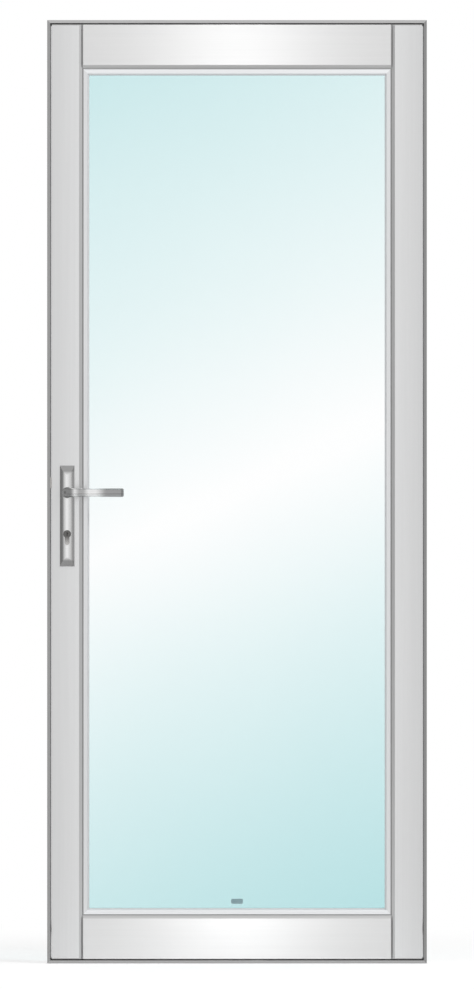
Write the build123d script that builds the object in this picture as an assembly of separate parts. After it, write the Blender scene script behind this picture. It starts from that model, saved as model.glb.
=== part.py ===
from build123d import *
import os

# A glazed aluminium door leaf in its own slim frame. X runs across the doorway, Y through it and
# Z up. The front is the -Y side. The origin is on the floor, under the middle of the leaf.

# Frame and leaf
FRAME_W = 845.0
FRAME_H = 2100.0
FRAME_FRONT = -25.0
FRAME_BACK = 45.0
FRAME_WEB = 2.5
NOSE_REACH = 7.0
NOSE_T = 2.5
LEAF_INSET = 10.0
LEAF_T = 50.0
STILE_FACE = 68.0
RAIL_FACE = 97.0
WALL = 2.0
BEVEL_W = 7.0
BEVEL_D = 3.5
JOINT_T = 2.0
JOINT_RECESS = 1.0

# Stop rib of the frame, the seal pushed over it, and the flange of the leaf that closes on it
RIB_REACH = 6.3
RIB_Y = (8.5, 11.0)
SEAL_REACH = 7.3
SEAL_Y = (7.5, 12.4)
FLANGE_REACH = 5.8
FLANGE_FRONT = 13.0
FLANGE_CHAMFER = 1.2

# Hardware groove along the outer edge of the leaf
GROOVE_Y = (-19.2, 5.2)
GROOVE_DEPTH = 7.5

# Glazing: rebate, fixed leg at the back, clip-in bead at the front, sealed unit between
LEG_REACH = 14.5
LEG_PLATE = 2.5
LEG_LIP_FRONT = 16.5
BEAD_REACH = 12.5
BEAD_FRONT = -20.5
BEAD_BACK = -15.0
BEAD_GROOVE = 2.0
BEAD_SLOT_Y = (-17.7, -16.3)
GLASS_CLEAR = 4.0
PANE_T = 4.0
UNIT_T = 24.0
SEALANT_W = 5.0
SPACER_W = 6.5

# Lever handle, long plate and profile cylinder
SPINDLE_Z = 1048.0
CENTRES = 92.0
BACKSET = 30.0
FACEPLATE_T = 3.0
SPINDLE = 8.0
LEVER_LENGTH = 125.0
BAR_Y = 68.0
BAR_R = 9.6
NECK_R = 9.0
RUNNING = 0.06
PLATE_W = 32.0
PLATE_H = 224.0
PLATE_Z = 996.0
PLATE_EDGE = 4.5
PLATE_CROWN = 8.5
PLATE_SCREW_Z = 102.0
CYLINDER_R = 8.5
CYLINDER_H = 33.0
CYLINDER_TAIL_W = 10.0
CYLINDER_PROUD = 3.0
PLUG_R = 7.0
CAM_R = 15.0

# Mortise lock
LOCK_Y = -7.0
CASE_T = 16.0
CASE_DEPTH = 51.0
CASE_Z = (906.0, 1086.0)
CASE_WALL = 1.5
LATCH_OUT = 12.5
LATCH_T = 12.0
LATCH_Z = (1058.0, 1082.0)
BOLT_T = 10.0
BOLT_Z = (972.5, 1000.5)
FACEPLATE_W = 24.0
FACEPLATE_H = 250.0

# Strike on the frame
STRIKE_T = 3.5
STRIKE_Y = (-20.0, 6.5)
STRIKE_Z = (945.0, 1106.0)

# Hinges
HINGE_Z = (230.0, 1050.0, 1870.0)
AXIS_X = 411.5
AXIS_Y = 33.5
BARREL_R = 7.5
PIN_R = 4.0
BUSH_R = 5.5
KNUCKLE_HALF = 17.0
BARREL_HALF = 50.0
WING_T = 3.0

# Wall fixings through the jambs
FIXING_R = 4.25
FIXING_Y = -7.0
FIXING_Z = (200.0, 700.0, 1400.0, 1900.0)

LEAF_X = FRAME_W / 2 - LEAF_INSET
LEAF_Z = (LEAF_INSET, FRAME_H - LEAF_INSET)
REBATE_X = LEAF_X - STILE_FACE
REBATE_Z = (LEAF_Z[0] + RAIL_FACE, LEAF_Z[1] - RAIL_FACE)
MIDDLE_Z = FRAME_H / 2
WEB_X = FRAME_W / 2 - FRAME_WEB
FACEPLATE_X = -LEAF_X + GROOVE_DEPTH - FACEPLATE_T
CASE_X = -LEAF_X + GROOVE_DEPTH
SPINDLE_X = FACEPLATE_X + BACKSET
CYLINDER_Z = SPINDLE_Z - CENTRES
CAP_T = 2.0


def strip(u0, u1, y0, y1):
    """Rectangle of a section: inward distance u and depth y."""
    return Pos((u0 + u1) / 2, (y0 + y1) / 2) * Rectangle(u1 - u0, y1 - y0)


def block(x0, x1, y0, y1, z0, z1):
    """Box between two corners."""
    return Pos((x0 + x1) / 2, (y0 + y1) / 2, (z0 + z1) / 2) * Box(x1 - x0, y1 - y0, z1 - z0)


def through(sketch, x, z, y0, y1):
    """Outline drawn in X and Z about a point, pushed through the leaf from y0 to y1."""
    plane = Plane((x, y1, z), x_dir=(1, 0, 0), z_dir=(0, -1, 0))
    return extrude(plane * sketch, amount=y1 - y0)


def across(sketch, y, z, x0, x1):
    """Outline drawn in Y and Z about a point, pushed sideways from x0 to x1."""
    plane = Plane((x0, y, z), x_dir=(0, 1, 0), z_dir=(1, 0, 0))
    return extrude(plane * sketch, amount=x1 - x0)


def upright(sketch, x, y, z0, z1):
    """Outline drawn in X and Y about a point, raised from z0 to z1."""
    return extrude(Plane((x, y, z0)) * sketch, amount=z1 - z0)


def sides(x, z0, z1):
    """The four sides of a rectangle of half width x, each with its local plane and its length.
    Local X points inwards, local Y backwards and local Z along the side."""
    height = z1 - z0
    return {
        "lock": (Plane((-x, 0, z0), x_dir=(1, 0, 0), z_dir=(0, 0, 1)), height),
        "top": (Plane((-x, 0, z1), x_dir=(0, 0, -1), z_dir=(1, 0, 0)), 2 * x),
        "hinge": (Plane((x, 0, z1), x_dir=(-1, 0, 0), z_dir=(0, 0, -1)), height),
        "bottom": (Plane((x, 0, z0), x_dir=(0, 0, 1), z_dir=(-1, 0, 0)), 2 * x),
    }


def mitred(section, side):
    """One side of a rectangular surround, its ends cut at 45 degrees."""
    plane, length = side
    reach = 30.0
    outline = Polyline((-reach, -reach), (reach, reach), (reach, length - reach),
                       (-reach, length + reach), close=True)
    keep = extrude(Plane.XZ * make_face(outline), amount=100, both=True)
    return plane.location * (extrude(section, amount=length) & keep)


def mitred_ring(section, x, z0, z1):
    """A closed surround of one section, joined at its corners."""
    ring = Part()
    for side in sides(x, z0, z1).values():
        ring += mitred(section, side)
    return ring


def flat_ring(x, z0, z1, width, y0, y1):
    """Closed rectangular ring of plain section, measured at its outer edge."""
    return block(-x, x, y0, y1, z0, z1) - block(-x + width, x - width, y0 - 1, y1 + 1,
                                                z0 + width, z1 - width)


def countersunk(x, y, z, direction, length, shank_r, head_r):
    """Countersunk screw whose flat head lies on a face and whose shank runs along direction."""
    head_t = head_r - shank_r
    outline = Polyline((0, 0), (head_r, 0), (shank_r, head_t), (shank_r, length), (0, length),
                       close=True)
    screw = revolve(Plane.XZ * make_face(outline), axis=Axis.Z)
    socket = extrude(RegularPolygon(shank_r * 0.75, 6), amount=head_t)
    return Plane((x, y, z), z_dir=direction).location * (screw - socket)


def screw_seat(x, y, z, direction, length, shank_r, head_r):
    """The countersunk hole that takes such a screw, with a little room round it."""
    room = 0.15
    head_t = head_r - shank_r
    outline = Polyline((0, -1), (head_r + room, -1), (head_r + room, 0), (shank_r + room, head_t),
                       (shank_r + room, length + room), (0, length + room), close=True)
    seat = revolve(Plane.XZ * make_face(outline), axis=Axis.Z)
    return Plane((x, y, z), z_dir=direction).location * seat


# Frame

def frame_section():
    """Flat web against the wall, a nose that narrows the gap in front of the leaf's edge, and
    the stop rib that the leaf closes on."""
    section = strip(0, FRAME_WEB, FRAME_FRONT, FRAME_BACK)
    section += strip(0, NOSE_REACH, FRAME_FRONT, FRAME_FRONT + NOSE_T)
    ends = [v for v in section.vertices() if v.Y in (FRAME_FRONT, FRAME_BACK)]
    section = fillet(ends, 0.8)
    return section + strip(FRAME_WEB - 0.5, RIB_REACH, *RIB_Y)


def strike_pocket(z_range, thickness, x0, x1):
    """Pocket that a bolt of the lock enters, a little larger than the bolt."""
    room = 1.0
    return block(x0, x1, LOCK_Y - thickness / 2 - room, LOCK_Y + thickness / 2 + room,
                 z_range[0] - room, z_range[1] + room)


def frame_side(name):
    part = mitred(frame_section(), sides(FRAME_W / 2, 0, FRAME_H)[name])
    sign = {"lock": -1, "hinge": 1}.get(name)
    if sign:
        for z in FIXING_Z:
            hole = Rot(0, 90, 0) * Cylinder(FIXING_R, 4 * FRAME_WEB)
            part -= Pos(sign * FRAME_W / 2, FIXING_Y, z) * hole
    if name == "lock":
        for z_range, thickness in ((LATCH_Z, LATCH_T), (BOLT_Z, BOLT_T)):
            part -= strike_pocket(z_range, thickness, -FRAME_W / 2 - 1, -WEB_X + 1)
        for z in strike_screw_z():
            part -= screw_seat(-WEB_X + STRIKE_T, LOCK_Y, z, (-1, 0, 0), 6.0, 2.0, 4.0)
    if name == "hinge":
        for z, y in hinge_frame_screw_places():
            part -= screw_seat(WEB_X - WING_T, y, z, (1, 0, 0), 5.4, 2.0, 3.8)
    for x, y, z, direction in bracket_screw_places():
        part -= screw_seat(x, y, z, direction, BRACKET_SCREW_LENGTH, 1.5, 2.9)
    return part


def frame_seal():
    """Rubber section pushed over the stop rib all round, with a lip towards the leaf's flange."""
    section = strip(RIB_REACH - 2.8, SEAL_REACH, *SEAL_Y)
    section = fillet(section.vertices().sort_by(Axis.X)[-2:], 0.7)
    section -= strip(0, RIB_REACH, *RIB_Y)
    return mitred_ring(section, FRAME_W / 2, 0, FRAME_H)


BRACKET_LEG = 42.0
BRACKET_SCREW = 28.0
BRACKET_W = 12.0
BRACKET_T = 1.4
BRACKET_SCREW_LENGTH = 3.8
BRACKET_Y = 36.0


def corner_bracket(x_sign, z_sign):
    """Flat angle that holds a mitred corner, lying in the reveal behind the leaf."""
    leg = BRACKET_LEG
    angle = block(0, leg, BRACKET_Y - BRACKET_W / 2, BRACKET_Y + BRACKET_W / 2, 0, BRACKET_T)
    angle += block(0, BRACKET_T, BRACKET_Y - BRACKET_W / 2, BRACKET_Y + BRACKET_W / 2, 0, leg)
    outer = angle.edges().filter_by(Axis.Y).sort_by(lambda e: e.center().X + e.center().Z)
    angle = fillet(outer[1:2], 1.5)
    part = Pos(-WEB_X, 0, FRAME_WEB) * angle
    if z_sign > 0:
        part = mirror(part, about=Plane.XY.offset(MIDDLE_Z))
    if x_sign > 0:
        part = mirror(part, about=Plane.YZ)
    return part


def bracket_screw_places():
    """Face point and direction of every bracket screw, one on each leg."""
    places = []
    inner_z = (FRAME_WEB + BRACKET_T, FRAME_H - FRAME_WEB - BRACKET_T)
    inner_x = WEB_X - BRACKET_T
    for x_sign in (-1, 1):
        for z, z_sign in zip(inner_z, (-1, 1)):
            along_z = z - z_sign * (BRACKET_SCREW - BRACKET_T)
            along_x = x_sign * (WEB_X - BRACKET_SCREW)
            places.append((x_sign * inner_x, BRACKET_Y, along_z, (x_sign, 0, 0)))
            places.append((along_x, BRACKET_Y, z, (0, 0, z_sign)))
    return places


def corner_brackets():
    brackets = Part()
    for x_sign in (-1, 1):
        for z_sign in (-1, 1):
            brackets += corner_bracket(x_sign, z_sign)
    for x, y, z, direction in bracket_screw_places():
        brackets -= screw_seat(x, y, z, direction, BRACKET_SCREW_LENGTH, 1.5, 2.9)
    return brackets


def corner_bracket_screws():
    return Compound([countersunk(*place, BRACKET_SCREW_LENGTH - 0.1, 1.5, 2.9)
                     for place in bracket_screw_places()])


def strike_screw_z():
    return (STRIKE_Z[0] + 9.0, STRIKE_Z[1] - 9.0)


def strike_plate():
    """Raised plate on the lock jamb, with a pocket for the latch and one for the deadbolt."""
    height = STRIKE_Z[1] - STRIKE_Z[0]
    outline = RectangleRounded(STRIKE_Y[1] - STRIKE_Y[0], height, 3.0)
    x0 = -WEB_X
    part = across(outline, sum(STRIKE_Y) / 2, sum(STRIKE_Z) / 2, x0, x0 + STRIKE_T)
    front = part.faces().sort_by(Axis.X)[-1]
    part = chamfer(front.edges(), 0.6)
    for z_range, thickness in ((LATCH_Z, LATCH_T), (BOLT_Z, BOLT_T)):
        part -= strike_pocket(z_range, thickness, x0 - 1, x0 + STRIKE_T + 1)
    for z in strike_screw_z():
        part -= screw_seat(x0 + STRIKE_T, LOCK_Y, z, (-1, 0, 0), 6.0, 2.0, 4.0)
    return part


def strike_screws():
    x = -WEB_X + STRIKE_T
    return Compound([countersunk(x, LOCK_Y, z, (-1, 0, 0), 5.9, 2.0, 4.0)
                     for z in strike_screw_z()])


# Leaf profiles

def bevel_cut(face, inwards=0.0):
    """What lies in front of the slope on the glass side of a profile, the slope itself moved
    into the metal by a wall's thickness for the chamber behind it."""
    slope = Vector(BEVEL_W, BEVEL_D)
    start = Vector(face - BEVEL_W, -LEAF_T / 2)
    start += Vector(-BEVEL_D, BEVEL_W).normalized() * inwards
    near = start - slope
    far = start + slope * 2
    front = -LEAF_T
    return make_face(Polyline((near.X, near.Y), (far.X, far.Y), (far.X, front), (near.X, front),
                              close=True))


def leaf_section(face):
    """Hollow profile of stiles and rails: two chambers, hardware groove, lapping flange, and a
    slope towards the glass."""
    half = LEAF_T / 2
    groove_wall = GROOVE_DEPTH + WALL
    outline = strip(0, face, -half, half) + strip(-FLANGE_REACH, 1, FLANGE_FRONT, half)
    outline -= bevel_cut(face)
    outline = fillet([v for v in outline.vertices() if v.Y < -half + 0.1], 0.8)
    tip = [v for v in outline.vertices() if v.X < 0 and v.Y < FLANGE_FRONT + 0.1]
    outline = chamfer(tip, FLANGE_CHAMFER)
    outline -= strip(-1, GROOVE_DEPTH, *GROOVE_Y)
    chamber = strip(groove_wall, face - WALL, -half + WALL, FLANGE_FRONT)
    outline -= chamber - bevel_cut(face, WALL)
    outline -= strip(WALL, groove_wall + 1, GROOVE_Y[1] + WALL, FLANGE_FRONT)
    outline -= strip(-FLANGE_REACH + WALL, face - WALL, FLANGE_FRONT + WALL, half - WALL)
    outline -= strip(face - WALL - 1, face + 1, *BEAD_SLOT_Y)
    return outline


def leg_section(face):
    """Fixed glazing leg at the back, with the groove that holds the inner seal."""
    half = LEAF_T / 2
    lip = 1.5
    leg = strip(face - 0.5, face + LEG_REACH, half - LEG_PLATE, half)
    for u in (face + LEG_REACH - lip, face + LEG_REACH - 2 * lip - 5.0):
        leg += strip(u, u + lip, LEG_LIP_FRONT, half - LEG_PLATE + 0.5)
    return leg


def plain_stile():
    """Lock-side stile before its hardware is cut in, from end cap to end cap."""
    z0, z1 = LEAF_Z[0] + CAP_T, LEAF_Z[1] - CAP_T
    part = upright(leaf_section(STILE_FACE), -LEAF_X, 0, z0, z1)
    leg_ends = (REBATE_Z[0] + LEG_REACH, REBATE_Z[1] - LEG_REACH)
    part += upright(leg_section(STILE_FACE), -LEAF_X, 0, *leg_ends)
    for z in tie_screw_z():
        part -= tie_screw_hole(z)
    return part


def leaf_stile_lock():
    part = plain_stile()
    half = LEAF_T / 2
    room = 0.6
    part -= block(CASE_X - 1, CASE_X + WALL + 1, LOCK_Y - CASE_T / 2 - room,
                  LOCK_Y + CASE_T / 2 + room, CASE_Z[0] - room, CASE_Z[1] + room)
    part -= through(Circle(NECK_R + 2.0), SPINDLE_X, SPINDLE_Z, -half - 1, half + 1)
    part -= through(euro_profile(1.0), SPINDLE_X, CYLINDER_Z, -half - 1, half + 1)
    for z in plate_screw_z():
        part -= through(Circle(3.0), SPINDLE_X, z, -half - 1, half + 1)
    for z in faceplate_screw_z():
        part -= screw_seat(FACEPLATE_X, LOCK_Y, z, (1, 0, 0), 10.0, 2.0, 4.0)
    return part


def leaf_stile_hinge():
    part = mirror(plain_stile(), about=Plane.YZ)
    for x, z in hinge_leaf_screw_places():
        part -= screw_seat(x, LEAF_T / 2 + WING_T, z, (0, -1, 0), 11.6, 2.0, 3.8)
    return part


def leaf_rail(name):
    """Rail between the stiles. The bottom one is the top one turned over."""
    plane, length = sides(REBATE_X - JOINT_T, *LEAF_Z)["top"]
    section = leaf_section(RAIL_FACE) + leg_section(RAIL_FACE)
    part = plane.location * extrude(section, amount=length)
    lip_z = (REBATE_Z[1] - LEG_REACH, REBATE_Z[1])
    for x in (-REBATE_X, REBATE_X - LEG_REACH):
        part -= block(x, x + LEG_REACH, UNIT_T / 2, LEAF_T / 2 - LEG_PLATE, *lip_z)
    if name == "bottom":
        part = mirror(part, about=Plane.XY.offset(MIDDLE_Z))
    return part


def rail_joint_gaskets():
    """Soft pads between rail ends and stiles, cut to the rail's section and a little short of its
    front face, which shows as a fine dark joint."""
    plane, _ = sides(REBATE_X, *LEAF_Z)["top"]
    half = LEAF_T / 2
    section = leaf_section(RAIL_FACE) + leg_section(RAIL_FACE)
    section &= strip(-LEAF_T, 3 * RAIL_FACE, -half + JOINT_RECESS, half)
    pad = plane.location * extrude(section, amount=JOINT_T)
    pad -= block(-REBATE_X, -REBATE_X + JOINT_T, UNIT_T / 2, half - LEG_PLATE,
                 REBATE_Z[1] - LEG_REACH, REBATE_Z[1])
    pair = [pad, mirror(pad, about=Plane.XY.offset(MIDDLE_Z))]
    return Compound([s for p in pair for s in (p.solid(), mirror(p, about=Plane.YZ).solid())])


def end_cap():
    """Moulded cap on the top of the lock stile, which carries the flange round the corner."""
    half = LEAF_T / 2
    z = LEAF_Z[1] - CAP_T
    plate = strip(0, STILE_FACE, -half, half) - bevel_cut(STILE_FACE)
    plate = fillet([v for v in plate.vertices() if v.Y < -half + 0.1], 0.8)
    part = upright(plate, -LEAF_X, 0, z, z + CAP_T)
    flange = strip(-FLANGE_REACH, STILE_FACE, FLANGE_FRONT, half)
    flange = chamfer([v for v in flange.vertices() if v.X < 0 and v.Y < half - 1], FLANGE_CHAMFER)
    flange = upright(flange, -LEAF_X, 0, z, z + CAP_T + FLANGE_REACH)
    corner = flange.edges().filter_by(Axis.Y).sort_by(lambda e: e.center().X - e.center().Z)[0]
    part += chamfer(corner, FLANGE_REACH)
    fit = 0.2
    plug_depth = 10.0
    groove_wall = GROOVE_DEPTH + WALL
    plugs = strip(groove_wall + fit, STILE_FACE - WALL - fit, -half + WALL + fit,
                  FLANGE_FRONT - fit)
    plugs -= bevel_cut(STILE_FACE, WALL + fit)
    plugs -= strip(groove_wall + fit + 2, STILE_FACE - WALL - fit - 2, -half + WALL + fit + 2,
                   FLANGE_FRONT - fit - 2)
    part += upright(plugs, -LEAF_X, 0, z - plug_depth, z + 0.5)
    return part


def end_caps():
    top = end_cap()
    left = [top, mirror(top, about=Plane.XY.offset(MIDDLE_Z))]
    return Compound([s for cap in left for s in (cap.solid(), mirror(cap, about=Plane.YZ).solid())])


CLEAT_LENGTH = 36.0


def rail_cleat():
    """Block in the end of the top rail that the tie screws draw against the lock stile."""
    fit = 0.3
    groove_wall = GROOVE_DEPTH + WALL
    z0 = LEAF_Z[1] - RAIL_FACE + WALL + fit
    z1 = LEAF_Z[1] - groove_wall - fit
    y0, y1 = BEAD_BACK + fit, FLANGE_FRONT - fit
    part = block(-REBATE_X, -REBATE_X + CLEAT_LENGTH, y0, y1, z0, z1)
    part -= block(-REBATE_X + 12, -REBATE_X + CLEAT_LENGTH + 1, y0 + 5, y1 - 5, z0 + 5, z1 - 5)
    for z in tie_screw_z():
        part -= tie_screw_hole(z)
    return part


def rail_cleats():
    top = rail_cleat()
    pair = [top, mirror(top, about=Plane.XY.offset(MIDDLE_Z))]
    return Compound([s for c in pair for s in (c.solid(), mirror(c, about=Plane.YZ).solid())])


TIE_SCREW_R = 3.0


def tie_screw_z():
    """Two screws through each stile into each rail."""
    upper = [LEAF_Z[1] - 32.0, LEAF_Z[1] - 72.0]
    return upper + [2 * MIDDLE_Z - z for z in upper]


def tie_screw_hole(z):
    x0 = CASE_X - 1
    hole = Circle(TIE_SCREW_R + 0.1)
    return across(hole, LOCK_Y, z, x0, -REBATE_X + 14.0)


def tie_screws():
    """Pan-head screws that lie in the hardware groove and reach through the stile."""
    solids = []
    for z in tie_screw_z():
        screw = across(Circle(TIE_SCREW_R), LOCK_Y, z, CASE_X, -REBATE_X + 13.0)
        head = across(Circle(5.5), LOCK_Y, z, CASE_X - 3.5, CASE_X)
        head = chamfer(head.faces().sort_by(Axis.X)[0].edges(), 1.2)
        screw += head
        screw -= across(RegularPolygon(2.6, 6), LOCK_Y, z, CASE_X - 4, CASE_X - 1.5)
        solids += [screw.solid(), mirror(screw, about=Plane.YZ).solid()]
    return Compound(solids)


# Glazing

def glass_edge():
    return REBATE_X - GLASS_CLEAR, REBATE_Z[0] + GLASS_CLEAR, REBATE_Z[1] - GLASS_CLEAR


def glass_pane(front):
    x, z0, z1 = glass_edge()
    y0 = -UNIT_T / 2 if front else UNIT_T / 2 - PANE_T
    return block(-x, x, y0, y0 + PANE_T, z0, z1)


def glass_spacer():
    """Hollow aluminium bar between the panes, bent round the whole unit."""
    x, z0, z1 = glass_edge()
    gap = UNIT_T / 2 - PANE_T
    wall = 0.8
    outer = strip(SEALANT_W, SEALANT_W + SPACER_W, -gap, gap)
    outer -= strip(SEALANT_W + wall, SEALANT_W + SPACER_W - wall, -gap + wall, gap - wall)
    return mitred_ring(outer, x, z0, z1)


def glass_edge_seal():
    x, z0, z1 = glass_edge()
    gap = UNIT_T / 2 - PANE_T
    return flat_ring(x, z0, z1, SEALANT_W, -gap, gap)


def bead_section():
    """Hollow bead whose foot hooks behind the wall of the rebate."""
    front = strip(BEAD_GROOVE, BEAD_REACH, BEAD_FRONT, BEAD_BACK)
    front = fillet([v for v in front.vertices() if v.Y < BEAD_FRONT + 0.1], 1.2)
    wall = 1.2
    front -= strip(BEAD_GROOVE + wall, BEAD_REACH - wall, BEAD_FRONT + wall, BEAD_BACK - wall)
    shoulder = strip(0, BEAD_GROOVE + 0.5, -17.5, BEAD_BACK)
    foot = strip(-WALL - 1.6, 0.5, -17.4, -16.6)
    barb = strip(-WALL - 1.6, -WALL - 0.4, -17.4, -15.6)
    return front + shoulder + foot + barb


def bead(name):
    """One bead, mitred at its corners."""
    plane, length = sides(REBATE_X, *REBATE_Z)[name]
    reach = 30.0
    outline = Polyline((-reach, -reach), (reach, reach), (reach, length - reach),
                       (-reach, length + reach), close=True)
    keep = extrude(Plane.XZ * make_face(outline), amount=100, both=True)
    end_room = 4.0
    bar = extrude(bead_section(), amount=length)
    hook = extrude(strip(-WALL - 5, 0, -18, -15), amount=end_room)
    bar -= hook
    bar -= Pos(0, 0, length - end_room) * hook
    return plane.location * (bar & keep)


def front_seal():
    """Wedge of soft seal between bead and glass, with a lip that shows beside the bead."""
    lip = strip(BEAD_REACH + 0.1, BEAD_REACH + 3.0, BEAD_BACK - 1.2, -UNIT_T / 2)
    lip = fillet(lip.vertices().sort_by(lambda v: v.Y - v.X)[0], 1.0)
    section = lip + strip(BEAD_REACH - 4.0, BEAD_REACH + 1.0, BEAD_BACK, -UNIT_T / 2)
    return mitred_ring(section, REBATE_X, *REBATE_Z)


def back_seal():
    """Bulb seal held in the groove of the fixed leg."""
    lip = 1.5
    stem = (LEG_REACH - lip - 4.8, LEG_REACH - lip - 0.2)
    head = strip(stem[0] - 1.4, LEG_REACH + 0.6, UNIT_T / 2, LEG_LIP_FRONT - 0.1)
    head = fillet(head.vertices().sort_by(Axis.X)[-2:], 1.2)
    section = head + strip(*stem, LEG_LIP_FRONT - 0.6, LEAF_T / 2 - LEG_PLATE - 0.2)
    section -= strip(stem[0] + 0.8, stem[1] - 0.8, UNIT_T / 2 + 1.0, LEG_LIP_FRONT - 1.0)
    return mitred_ring(section, REBATE_X, *REBATE_Z)


def setting_blocks():
    """Packers that carry the unit: two below, two above and one beside each stile."""
    half = UNIT_T / 2
    solids = []
    for x in (-240, 240):
        for z0 in (REBATE_Z[0], REBATE_Z[1] - GLASS_CLEAR):
            solids.append(block(x - 50, x + 50, -half, half, z0, z0 + GLASS_CLEAR).solid())
    for x0, z in ((-REBATE_X, 300), (REBATE_X - GLASS_CLEAR, FRAME_H - 300)):
        solids.append(block(x0, x0 + GLASS_CLEAR, -half, half, z - 50, z + 50).solid())
    return Compound(solids)


# Lock

def faceplate_screw_z():
    middle = (SPINDLE_Z + CYLINDER_Z) / 2
    return (middle - FACEPLATE_H / 2 + 10.0, middle + FACEPLATE_H / 2 - 10.0)


CYLINDER_SCREW_Z = CYLINDER_Z - 18.5


def lock_faceplate():
    """Plate on the leaf's edge that the latch and deadbolt pass through."""
    middle = (SPINDLE_Z + CYLINDER_Z) / 2
    outline = RectangleRounded(FACEPLATE_W, FACEPLATE_H, 3.0)
    part = across(outline, LOCK_Y, middle, FACEPLATE_X, CASE_X)
    room = 0.25
    for z_range, thickness in ((LATCH_Z, LATCH_T), (BOLT_Z, BOLT_T)):
        half = thickness / 2 + room
        part -= block(FACEPLATE_X - 1, CASE_X + 1, LOCK_Y - half, LOCK_Y + half,
                      z_range[0] - room, z_range[1] + room)
    for z in faceplate_screw_z():
        part -= screw_seat(FACEPLATE_X, LOCK_Y, z, (1, 0, 0), 10.0, 2.0, 4.0)
    part -= screw_seat(FACEPLATE_X, LOCK_Y, CYLINDER_SCREW_Z, (1, 0, 0), 10.0, 2.5, 4.5)
    return part


def lock_case():
    """Folded steel box behind the faceplate, open where its working pieces pass."""
    y0, y1 = LOCK_Y - CASE_T / 2, LOCK_Y + CASE_T / 2
    part = block(CASE_X, CASE_X + CASE_DEPTH, y0, y1, *CASE_Z)
    part -= block(CASE_X + CASE_WALL, CASE_X + CASE_DEPTH - CASE_WALL, y0 + CASE_WALL,
                  y1 - CASE_WALL, CASE_Z[0] + CASE_WALL, CASE_Z[1] - CASE_WALL)
    room = 0.25
    for z_range, thickness in ((LATCH_Z, LATCH_T), (BOLT_Z, BOLT_T)):
        half = thickness / 2 + room
        part -= block(CASE_X - 1, CASE_X + CASE_WALL + 1, LOCK_Y - half, LOCK_Y + half,
                      z_range[0] - room, z_range[1] + room)
    part -= across(Circle(2.8), LOCK_Y, CYLINDER_SCREW_Z, CASE_X - 1, CASE_X + CASE_WALL + 1)
    part -= through(Circle(FOLLOWER_JOURNAL_R + RUNNING), SPINDLE_X, SPINDLE_Z, y0 - 1, y1 + 1)
    part -= through(euro_profile(0.3), SPINDLE_X, CYLINDER_Z, y0 - 1, y1 + 1)
    return part


def faceplate_screws():
    return Compound([countersunk(FACEPLATE_X, LOCK_Y, z, (1, 0, 0), 9.9, 2.0, 4.0)
                     for z in faceplate_screw_z()])


def cylinder_screw():
    """Long screw from the faceplate into the bridge of the cylinder."""
    reach = SPINDLE_X - FACEPLATE_X + 3.0
    return countersunk(FACEPLATE_X, LOCK_Y, CYLINDER_SCREW_Z, (1, 0, 0), reach, 2.5, 4.5)


def euro_profile(grow=0.0):
    """Section of a profile cylinder: round head and narrower tail, drawn about the plug."""
    tail_r = CYLINDER_TAIL_W / 2
    tail_end = CYLINDER_H - CYLINDER_R - tail_r
    tail = Pos(0, -tail_end / 2) * Rectangle(CYLINDER_TAIL_W + 2 * grow, tail_end)
    return Circle(CYLINDER_R + grow) + tail + Pos(0, -tail_end) * Circle(tail_r + grow)


def cylinder_end():
    """Distance of both ends of the cylinder from the middle of the leaf."""
    return LEAF_T / 2 + PLATE_CROWN + CYLINDER_PROUD


CAM_Y = (LOCK_Y - 4.5, LOCK_Y + 4.5)


def cylinder_body():
    """Double cylinder body, its two halves joined by the bridge under the cam."""
    end = cylinder_end()
    part = through(euro_profile(), SPINDLE_X, CYLINDER_Z, -end, end)
    part -= through(Circle(PLUG_R + RUNNING), SPINDLE_X, CYLINDER_Z, -end - 1, end + 1)
    part -= through(Circle(CAM_R + 0.5), SPINDLE_X, CYLINDER_Z, CAM_Y[0] - 0.5, CAM_Y[1] + 0.5)
    part -= across(Circle(2.6), LOCK_Y, CYLINDER_SCREW_Z, SPINDLE_X - 6, SPINDLE_X + 3.2)
    return part


def keyway():
    """Narrow stepped slot for a key."""
    return Rectangle(1.8, 9.0) + Pos(0.7, 1.2) * Rectangle(2.6, 2.4)


def plug_front():
    """Front plug, which carries the cam."""
    end = cylinder_end()
    part = through(Circle(PLUG_R), SPINDLE_X, CYLINDER_Z, -end, CAM_Y[1])
    return part - through(keyway(), SPINDLE_X, CYLINDER_Z, -end - 1, -end + 24)


def plug_back():
    end = cylinder_end()
    part = through(Circle(PLUG_R), SPINDLE_X, CYLINDER_Z, CAM_Y[1] + 0.4, end)
    return part - through(keyway(), SPINDLE_X, CYLINDER_Z, end - 24, end + 1)


def cylinder_cam():
    """Ring with one driving nose, keyed on the front plug, the nose pointing down at rest."""
    ring = Circle(PLUG_R + 1.4)
    nose = Pos(0, -CAM_R / 2) * Rectangle(6.0, CAM_R - 3.0) + Pos(0, -CAM_R + 3.0) * Circle(3.0)
    outline = ring + nose - Circle(PLUG_R)
    return through(outline, SPINDLE_X, CYLINDER_Z, *CAM_Y)


FOLLOWER_R = 9.0
FOLLOWER_JOURNAL_R = 8.0
ARM_R = 15.5
ARM_TIP_R = 2.5


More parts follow.
